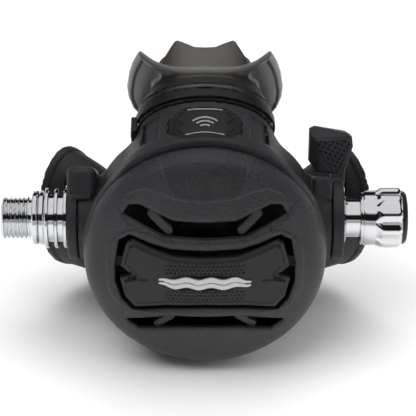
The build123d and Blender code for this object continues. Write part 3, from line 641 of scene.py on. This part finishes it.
def smooth_line(x, knots, values):
    """Smooth curve through the knots."""
    tangents = np.gradient(values, knots)
    k = np.clip(np.searchsorted(knots, x) - 1, 0, len(knots) - 2)
    kn, va = np.array(knots), np.array(values)
    width = kn[k + 1] - kn[k]
    t = np.clip((x - kn[k]) / width, 0, 1)
    first = (1 + 2 * t) * (1 - t) ** 2 * va[k] + t * (1 - t) ** 2 * width * tangents[k]
    return first + t * t * (3 - 2 * t) * va[k + 1] + t * t * (t - 1) * width * tangents[k + 1]


def tee_field(x, d, h):
    side = np.abs(x)
    mid_d, mid_h = smooth_line(side, TEE_X, TEE_D), smooth_line(side, TEE_X, TEE_H)
    a, b = smooth_line(side, TEE_X, TEE_A), smooth_line(side, TEE_X, TEE_B)
    tube = oval(d - mid_d, h - mid_h, a, b) * TEE_LEAN
    end = (side - TEE_END_X) * math.cos(TEE_END_TURN) + (d - TEE_END_D) * math.sin(TEE_END_TURN)
    outside = overlap(tube, end, 0.8)
    mouth_band = np.abs(end + 1.3) - 1.3
    bead = overlap(np.maximum(mouth_band, tube - 0.45), mouth_band, 0.5)
    outside = np.minimum(outside, bead)
    outside = carve(outside, case_outside(x, d, h) - 0.35, 0.8)
    clip_room = np.maximum(np.hypot(d - VALVE_D, h) - 14.6, side - 47.0)
    for _ in range(2):  # the second pass softens the edge that the first leaves
        outside = carve(outside, clip_room, 0.8)
    outside = np.maximum(outside, -(h + AXIS_Z))
    return carve(outside, tube + 2.4, 1.1)


def make_tee():
    tee = mould("exhaust_tee_skin", tee_field, (-58.8, 26.4, -43), (58.8, 61.2, 16), 0.6)
    finish_piece(tee, "case", "valve_body", "case_plastic", "exhaust_tee")


# ---------------------------------------------------------------- mouthpiece
LIP = mirrored(
    [(0, 12.2), (11.0, 11.6), (17.0, 11.9), (20.6, 13.0), (21.6, 13.0), (22.6, 10.6), (24.0, 6.6)]
    + [(25.2, 1.6), (26.2, -5.6), (25.9, -9.4), (24.4, -12.8), (21.0, -14.6), (16.0, -14.2)]
    + [(11.0, -13.0), (0, -12.2)]
)
LIP_HALF, LIP_REACH, LIP_POWER = 26.8, 13.0, 2.5  # the lip's ends bend forward along a power curve


def lip_bend(x):
    return LIP_REACH * (np.abs(x) / LIP_HALF) ** LIP_POWER


def mouthpiece_field(x, d, h):
    station, up = along_neck(d, h)
    ahead = station - FLANGE_S
    grip = step(COLLAR_S, SPIGOT_S, station)
    a = 21.9 - 0.3 * grip - 2.4 * step(27, FLANGE_S, station)
    b = 13.6 - 0.3 * grip - 2.2 * step(27, FLANGE_S, station)
    ribs = 0.45 * step(0.55, 0.95, np.cos(2 * math.pi * (station - 24.6) / 2.5))
    ribs = ribs * step(28.6, 28.2, station) * step(22.9, 23.3, station)
    boot = np.maximum(oval(x, up, a + ribs, b + ribs), np.maximum(COLLAR_S + 0.15 - station, ahead))
    rise = LIP_POWER * LIP_REACH / LIP_HALF * (np.abs(x) / LIP_HALF) ** (LIP_POWER - 1)
    slope = 1 / np.sqrt(1 + rise**2)
    edge = polygon(x, up, LIP) - 0.1
    thick = 0.8 + 0.35 * step(-2.4, -1.0, edge)
    sheet = np.abs(ahead - lip_bend(x)) * slope - thick
    lip = overlap(sheet, edge, 1.2)
    body = blend(boot, lip, 3.6)
    side = np.abs(x)
    arch_u = 7.6 * np.sqrt(np.clip(1 - (x / 17.6) ** 2, 0, 1)) + 0.2
    reach = np.interp(side, [0, 3.5, 9.3, 10.2, 17.0], [15.6, 16.0, 20.6, 20.4, 7.0])
    along_bridge = (np.abs(ahead - 0.5 * reach) - 0.5 * reach) * 0.8
    bridge = overlap(np.abs(up - arch_u) * 0.8 - 0.8, along_bridge, 0.8)
    bridge = np.maximum(bridge, side - 17.0)
    body = blend(body, bridge, 1.4)
    tab_end = np.interp(side, [8.6, 9.6, 12.0, 17.2], [21.4, 21.8, 20.4, 11.0])
    along_tab = (np.abs(ahead - 10) - tab_end + 10) * 0.7
    tab = overlap(np.maximum(np.abs(side - 13.0) - 4.2, np.abs(up) - 1.9), along_tab, 1.0)
    stop = box(side, ahead + 1.15 * (side - 12.4), up, (12.4, 17.0, 0), (3.0, 1.5, 3.7), 1.2) * 0.7
    body = blend(body, blend(tab, stop, 1.2), 1.2)
    past_spigot = 2.4 * step(SPIGOT_S - 0.2, SPIGOT_S + 0.2, station)
    tunnel_a = 19.6 - past_spigot - 1.6 * step(28, 38, station)
    tunnel_b = 11.2 - past_spigot - 1.2 * step(28, 38, station)
    tunnel = np.maximum(oval(x, up, tunnel_a, tunnel_b), ahead - 3.4)
    return carve(body, tunnel, 0.6)


def make_mouthpiece():
    piece = mould("mouthpiece_skin", mouthpiece_field, (-28, 20, 12), (28, 64, 56), 0.48)
    finish_piece(piece, "silicone", "valve_body", "smoke_silicone", "mouthpiece")
    mesh = piece.data
    points = np.empty(3 * len(mesh.vertices))
    mesh.vertices.foreach_get("co", points)
    points = points.reshape(-1, 3) / MM
    x, d, h = points[:, 0], points[:, 1] - RIM_Y, points[:, 2] - AXIS_Z
    station, up = along_neck(d, h)
    ahead = station - FLANGE_S
    edge = polygon(x, up, LIP)
    on_lip = step(2.8, 1.2, np.abs(ahead - lip_bend(x)))
    thin = on_lip * step(-3.0, 0.2, edge)
    thin = np.maximum(thin, 0.5 * step(1.6, 3.2, ahead - lip_bend(x)))
    layer = mesh.attributes.new("thin", "FLOAT", "POINT")  # read by silicone()
    layer.data.foreach_set("value", thin.astype(np.float32))


def clamp_field(x, d, h):
    station, up = along_neck(d, h)
    skin = oval(x, up, 22.1, 13.8)
    s = station - 21.2
    band = overlap(np.abs(skin - 0.35) - 0.42, np.abs(s) - 1.8, 0.3)
    teeth = 0.25 * np.cos(2 * math.pi * s / 1.6)
    head = box(x, s, up, (-22.9, -2.6, 0), (1.0, 3.4, 3.2), 0.5) - teeth * 0.6
    head = np.minimum(head, box(x, s, up, (-23.3, -4.6, 0.6), (0.8, 1.2, 1.6), 0.4))
    head = np.minimum(head, box(x, s, up, (-23.3, -1.4, 0.8), (0.8, 1.0, 1.4), 0.4))
    return np.minimum(band, np.maximum(head, -(skin - 0.05)))


def make_clamp():
    clamp = mould("mouthpiece_clamp_skin", clamp_field, (-25.4, 12, 14), (24.4, 36, 52), 0.4)
    finish_piece(clamp, "trim", "valve_body", "case_plastic", "mouthpiece_clamp")


# ---------------------------------------------------------------- inlet side
def clip_field(x, d, h):
    around = np.hypot(d - VALVE_D, h)
    ring = disc(around, -x, 14.0, 41.75, 45.2, 0.7)
    fore, upward = about_valve(d, h, LUG_LEAN)
    lug = box(x, fore, upward, (-40.35, 5.8, 11.15), (4.85, 8.8, 5.45), 2.4)
    lug = carve(lug, np.maximum(around - 13.9, -41.7 - x), 0.2)
    body = blend(ring, lug, 0.8)
    return carve(body, around - 9.1, 0.3)


def make_clip():
    clip = mould("inlet_clip_skin", clip_field, (-46.2, 5, -15), (-34.6, 45, 24), 0.32)
    finish_piece(clip, "case", "valve_body", "case_plastic", "inlet_clip")


THREAD_PITCH, THREAD_DEPTH, THREAD_R = 1.411, 0.82, 7.14


def make_inlet():
    w = HALF_WIDTH

    def threaded(x, r, angles):
        start, stop = -w + 0.6, -w + 9.2
        if not start < x < stop or r < 6.0:
            return np.full(len(angles), r)
        phase = ((x - start) / THREAD_PITCH + angles / (2 * math.pi)) % 1
        groove = np.clip(1.25 * (np.abs(phase - 0.5) * 2 - 0.12), 0, 1)
        fade = min(1.0, (x - start) / 0.9, (stop - x) / 0.9)
        return r - THREAD_DEPTH * (1 - groove) * fade

    profile = [(-w + 8.0, 2.7), (-w + 8.0, 3.6), (-w + 0.3, 3.6), (-w, 3.9), (-w, 6.2), (-w + 0.6, 7.0)]
    steps = 96
    profile += [(-w + 0.6 + 8.6 * k / steps, THREAD_R) for k in range(steps + 1)]
    profile += [(-58.1, 6.2), (-57.2, 6.2), (-57.2, 8.6), (-56.8, 9.0), (-55.7, 9.0), (-55.25, 8.6)]
    profile += [(-55.15, 8.2), (-55.05, 8.6), (-54.6, 9.0), (-53.6, 9.0), (-53.1, 8.6), (-53.1, 8.1)]
    for fin in (-52.9, -49.8, -46.8):
        profile += [(fin, 8.1), (fin, 9.9), (fin + 0.3, 10.2)]
        profile += [(fin + 1.0, 10.2), (fin + 1.3, 9.9), (fin + 1.3, 8.1)]
    profile += [(-45.4, 8.1), (-45.4, 7.6), (-36.2, 7.6), (-36.2, 2.7)]
    fitting = lathe("inlet_fitting_skin", profile + profile[:1], threaded, 120)
    finish_piece(fitting, "chrome", "valve_body", "chrome", "inlet_fitting")
    nut = mould("inlet_nut", nut_field, (-45.9, 13, -11), (-41.5, 35, 11), 0.3)
    finish_piece(nut, "chrome", "valve_body", "chrome")


def nut_field(x, d, h):
    angle = np.arctan2(h, d - VALVE_D)
    r = np.hypot(d - VALVE_D, h)
    flat = r * np.cos((angle + math.pi / 6) % (math.pi / 3) - math.pi / 6)
    nut = overlap(np.maximum(flat - 8.0, r - 8.95), np.abs(x + 43.6) - 1.8, 0.3)
    return carve(nut, r - 7.62, 0.1)


# ---------------------------------------------------------------- knob side
def make_knob():
    gland = [(38.0, 3.05), (38.0, 5.9), (45.8, 5.9), (45.8, 8.3), (45.95, 8.6), (46.3, 8.6), (46.5, 8.3)]
    gland += [(46.5, 6.5), (53.4, 6.5), (53.6, 6.3), (53.6, 3.9), (51.4, 3.9), (51.4, 3.05), (38.0, 3.05)]
    finish_piece(lathe("knob_gland_skin", gland), "chrome", "valve_body", "chrome", "knob_gland")
    end = HALF_WIDTH - 2.2
    flutes = 10

    def fluted(x, r, angles):
        if x < 55.6 or r < 9.0:
            return np.full(len(angles), r)
        across = np.abs((angles / (2 * math.pi) * flutes) % 1 - 0.5) * 2
        depth = np.clip(1 - (across / 0.78) ** 2, 0, 1)
        begin = np.clip((x - 56.0 - 2.4 * across) / 1.6, 0, 1)
        return r - 0.75 * depth * begin

    outline = [(58.4, 0.0), (58.4, 7.0), (51.3, 7.0), (51.3, 8.7), (51.5, 8.95), (51.9, 9.05), (52.0, 8.7)]
    outline += [(52.35, 8.7), (52.45, 9.05), (52.8, 9.2), (55.6, 9.2)]
    steps = 26
    for k in range(steps + 1):
        x = 55.7 + (end - 1.2 - 55.7) * k / steps
        outline.append((x, 9.2 + 0.9 * float(step(56.2, 58.8, x))))
    outline += [(end - 0.6, 9.8), (end - 0.1, 9.3), (end - 0.1, 8.95), (end - 0.9, 8.95), (end - 0.9, 0.0)]
    knob = lathe("adjusting_knob_skin", outline, fluted, 200, 35)
    finish_piece(knob, "chrome", "knob", "chrome", "adjusting_knob")
    w = HALF_WIDTH
    cap = [(end - 0.85, 0.0), (end - 0.85, 8.9), (end + 0.4, 8.9), (end + 1.1, 8.6), (end + 1.6, 8.0)]
    cap += [(w - 0.35, 6.6), (w - 0.1, 4.4), (w, 2.2), (w, 0.0)]
    finish_piece(lathe("knob_cap_skin", cap, None, 112, 50), "trim", "knob", "button_plastic", "knob_cap")


PADDLE = [(41.7, 11.0), (45.7, 11.0), (46.2, 16.6), (48.8, 24.4), (48.4, 27.6), (46.4, 28.9)]
PADDLE += [(36.2, 30.6), (34.5, 29.8), (34.2, 19.4), (36.4, 15.9), (41.7, 15.4)]
GRIP = [(36.0, 26.3), (47.8, 26.9), (48.0, 24.4), (45.3, 17.8), (44.2, 15.2), (42.6, 15.6), (36.2, 24.6)]


def lever_field(x, d, h):
    around = np.hypot(d - VALVE_D, h)
    ring = disc(around, x, 14.0, 41.75, 45.7, 0.6)
    fore, upward = about_valve(d, h, 20)
    outline = polygon(x, upward, PADDLE)
    top_slant = (fore - 3.6) * 0.75 + (upward - 27.4) * 0.66 - 0.25 * (x - 42.0) * 0.66
    side_slant = (fore - 3.2) * 0.72 - (x - 36.6) * 0.7
    block = overlap(outline, np.abs(fore - 0.5) - 3.5, 0.9)
    block = overlap(overlap(block, top_slant, 0.4), side_slant, 0.5)
    grip = polygon(x, upward, GRIP)
    inside = (1 - step(-0.6, -0.3, grip)) * step(2.4, 3.4, fore)
    block = block + 0.55 * inside * dots(x, upward + 0.4 * x, 1.55, 0.72)
    block = block + 0.2 * step(0.0, 0.25, grip) * step(0.7, 0.4, grip) * step(2.4, 3.4, fore)
    body = blend(ring, block, 1.2)
    return carve(body, around - 8.92, 0.1)


def make_lever():
    lever = mould("venturi_lever_skin", lever_field, (33.2, 8, -15), (49.8, 45, 33), 0.3)
    finish_piece(lever, "lever", "venturi", "case_plastic", "venturi_lever")


# ---------------------------------------------------------------- springs and the CAD's own pieces
WIRE_R = 0.4


def make_spring(node, look, along, turns, anchor_high):
    """A coil as long and as wide as its CAD node."""
    low, high = (Vector(corner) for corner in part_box(node))
    middle = (low + high) / 2
    size = high - low
    second, third = [k for k in range(3) if k != along]
    wire = WIRE_R * MM
    radius = size[second] / 2 - wire
    start, end = low[along] + wire, high[along] - wire
    steps, sides = 24 * turns, 10
    pitch = (end - start) / turns
    points = []
    for k in range(steps + 1):
        turn = 2 * math.pi * turns * k / steps
        for j in range(sides):
            around = 2 * math.pi * j / sides
            out = radius + wire * math.cos(around)
            point = [0.0, 0.0, 0.0]
            point[along] = start + pitch * turns * k / steps + wire * math.sin(around)
            point[second] = middle[second] + out * math.cos(turn)
            point[third] = middle[third] + out * math.sin(turn)
            points.append(point)
    faces = [tuple(range(sides)), tuple(reversed(range(steps * sides, (steps + 1) * sides)))]
    for k in range(steps):
        here, there = k * sides, (k + 1) * sides
        for j in range(sides):
            n = (j + 1) % sides
            faces.append((here + j, there + j, there + n, here + n))
    mesh = bpy.data.meshes.new(node + "_coil")
    mesh.from_pydata(points, [], faces)
    clean(mesh)
    coil = make_object(node + "_coil", mesh)
    finish_piece(coil, look, "valve_body", "spring_steel", node)
    anchor = list(middle)
    anchor[along] = high[along] if anchor_high else low[along]
    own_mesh(coil)


def dress_frame():
    looks = {
        "diaphragm": "rubber",
        "diaphragm_plate": "steel",
        "diaphragm_washer": "nylon",
        "inlet_o_ring": "rubber",
        "spindle_o_ring": "rubber",
        "valve_tube": "nylon",
        "lever_pin": "steel",
        "orifice_seat": "brass",
        "exhaust_valve": "clear",
        "demand_lever": "steel",
        "poppet": "brass",
        "poppet_seat": "rubber",
        "spring_pad": "brass",
        "spindle": "brass",
        "venturi_vane": "nylon",
    }
    for node, look in looks.items():
        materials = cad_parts[node].data.materials
        materials.clear()
        materials.append(MATS[look])


# ---------------------------------------------------------------- stage
def panel(name, size, location, target, power):
    data = bpy.data.lights.new(name, "AREA")
    data.shape = "RECTANGLE"
    data.size, data.size_y = size
    data.energy = power
    lamp = bpy.data.objects.new(name, data)
    lamp.location = location
    lamp.rotation_euler = (Vector(target) - Vector(location)).to_track_quat("-Z", "Y").to_euler()
    lamp.visible_glossy = False
    bpy.context.scene.collection.objects.link(lamp)


def make_stage():
    """A round pale tray as the floor, a graded sky and three soft lights."""
    mesh = bpy.data.meshes.new("floor")
    flat, curve, around = 2.2, 0.5, 64
    profile = [(0.95 * flat, 0.0), (flat, 0.0)]
    for a in np.linspace(0.15, math.pi / 2, 10):
        profile.append((flat + curve * math.sin(a), curve * (1 - math.cos(a))))
    turns = [2 * math.pi * k / around for k in range(around)]
    points = [(r * math.cos(a), r * math.sin(a), z) for r, z in profile for a in turns]
    faces = [tuple(range(around))]
    for ring in range(len(profile) - 1):
        low, high = ring * around, (ring + 1) * around
        for k in range(around):
            n = (k + 1) % around
            faces.append((low + k, high + k, high + n, low + n))
    mesh.from_pydata(points, [], faces)
    mesh.shade_smooth()
    floor = make_object("floor", mesh)
    mat, _ = shader("floor_look", (0.95, 0.95, 0.95), 0.8)
    floor.data.materials.append(mat)

    world = bpy.data.worlds.new("studio")
    bpy.context.scene.world = world
    world.use_nodes = True
    tree = world.node_tree
    coords = tree.nodes.new("ShaderNodeTexCoord")
    split = tree.nodes.new("ShaderNodeSeparateXYZ")
    tree.links.new(coords.outputs["Generated"], split.inputs["Vector"])
    rise = remap(tree, split.outputs["Z"], 0.0, 1.0, start=-1.0)
    ramp = mix_color(tree, rise, (0.4, 0.4, 0.4), (0.85, 0.85, 0.85))
    # from straight down, 0, over the horizon, 0.5: pale, then a dark band that the chrome mirrors
    for at, level in ((0.5, 0.45), (0.61, 0.7), (0.65, 0.01), (0.83, 0.01), (0.88, 0.9)):
        ramp.color_ramp.elements.new(at).color = (level, level, level, 1)
    tree.links.new(ramp.outputs["Color"], tree.nodes["Background"].inputs["Color"])
    tree.nodes["Background"].inputs["Strength"].default_value = 1.0
    bpy.context.scene.view_settings.view_transform = "Standard"

    middle = (0, 0, 0.045)
    panel("key", (0.7, 0.5), (-0.35, -0.35, 0.85), middle, 4.0)
    panel("fill", (0.6, 0.6), (0.7, -0.3, 0.45), middle, 2.5)
    panel("top", (0.8, 0.8), (0.05, 0.25, 0.95), middle, 4.0)


def make_camera():
    data = bpy.data.cameras.new("camera")
    camera = bpy.data.objects.new("camera", data)
    bpy.context.scene.collection.objects.link(camera)
    bpy.context.scene.camera = camera
    image, scale, distance = 416, 3.0, 650.0
    centre_px, axis_px = 205.0, 217.5
    tilt = math.radians(30.0)
    target = Vector((0, (VALVE_D + RIM_Y) * MM, AXIS_Z * MM))
    ahead = Vector((0, math.cos(tilt), -math.sin(tilt)))
    camera.location = target - ahead * distance * MM
    camera.rotation_euler = ahead.to_track_quat("-Z", "Y").to_euler()
    data.sensor_width = 36.0
    data.lens = data.sensor_width * distance * scale / image
    data.shift_x = (image / 2 - centre_px) / image
    data.shift_y = (axis_px - image / 2) / image
    data.clip_start = 0.01
    data.clip_end = 20


make_camera()
make_stage()
make_cover()
make_purge()
make_case()
make_label()
make_tee()
make_mouthpiece()
make_clamp()
make_clip()
make_inlet()
make_knob()
make_lever()
make_spring("purge_spring", "rubber", 1, 4, True)
make_spring("poppet_spring", "steel", 0, 6, False)
dress_frame()
